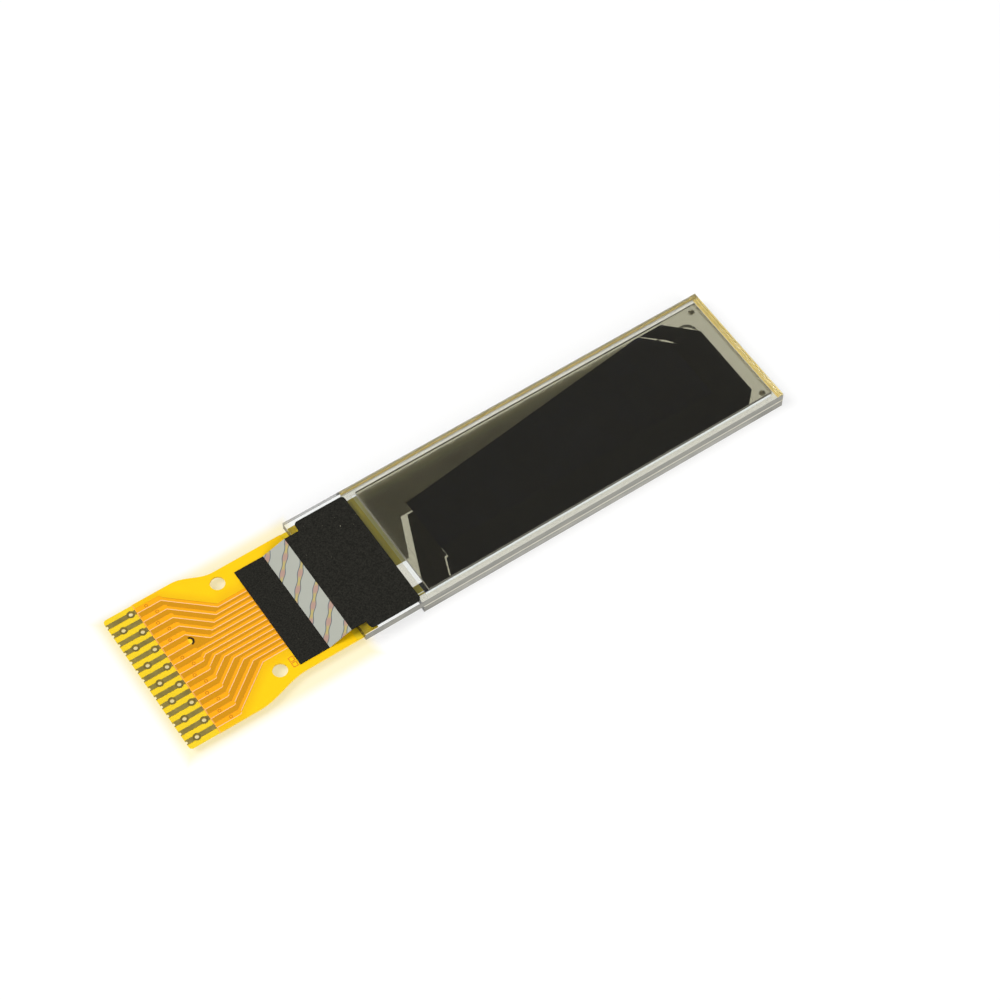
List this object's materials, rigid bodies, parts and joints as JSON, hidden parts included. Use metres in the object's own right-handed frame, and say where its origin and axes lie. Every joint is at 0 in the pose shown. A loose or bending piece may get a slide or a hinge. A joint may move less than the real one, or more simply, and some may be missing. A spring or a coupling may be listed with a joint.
{
  "type": "small oled display module",
  "caption": "Narrow glass OLED display panel with a driver chip bonded on its ledge, a black light-shield tape and a short flexible solder tail.",
  "frame": {"origin": "centre of the whole footprint, on the surface that the back glass lies on", "axes": "+X from the solder tail to the plain end of the glass, +Y across the panel, +Z out of the front of the display"},
  "size_m": [0.0368, 0.0088, 0.0012],
  "materials": {
    "panel_glass": "clear float glass, polished faces and cut edges",
    "polarizer_film": "neutral grey circular polarizer, hard-coated",
    "lead_metal": "thin olive metal film on glass",
    "dark_lead_metal": "thin dark metal film on glass",
    "clear_conductor": "transparent conductor stripes",
    "emitter": "dark light-emitting film",
    "cathode_metal": "bright evaporated metal",
    "seal_resin": "pale amber cured resin",
    "desiccant": "matt drying sheet",
    "chip_silicon": "bare silicon, ground back",
    "bond_film": "cured bond film",
    "clear_coat": "clear silicone coat",
    "base_polyimide": "yellow polyimide film",
    "coverlay_polyimide": "amber polyimide coverlay",
    "contact_metal": "plated copper, dull gold",
    "tape_film": "matt black tape, grey patterned on the slope"
  },
  "bodies": {
    "root": {"front_polarizer": "polarizer_film", "substrate_glass": "panel_glass", "input_leads": "lead_metal", "segment_leads": "lead_metal", "common_leads_left": "dark_lead_metal", "common_leads_right": "dark_lead_metal", "column_anodes": "clear_conductor", "emitter_layer": "emitter", "row_cathodes": "cathode_metal", "alignment_marks": "dark_lead_metal", "perimeter_seal": "seal_resin", "cap_glass": "panel_glass", "desiccant_sheet": "desiccant", "driver_chip": "chip_silicon", "chip_bond_film": "bond_film", "flex_bond_film": "bond_film", "lead_coating": "clear_coat", "flex_base_film": "base_polyimide", "front_coverlay": "coverlay_polyimide", "back_coverlay": "coverlay_polyimide", "light_shield_tape": "tape_film", "contact_01": "contact_metal", "contact_02": "contact_metal", "contact_03": "contact_metal", "contact_04": "contact_metal", "contact_05": "contact_metal", "contact_06": "contact_metal", "contact_07": "contact_metal", "contact_08": "contact_metal", "contact_09": "contact_metal", "contact_10": "contact_metal", "contact_11": "contact_metal", "contact_12": "contact_metal", "contact_13": "contact_metal", "contact_14": "contact_metal"}
  },
  "joints": []
}
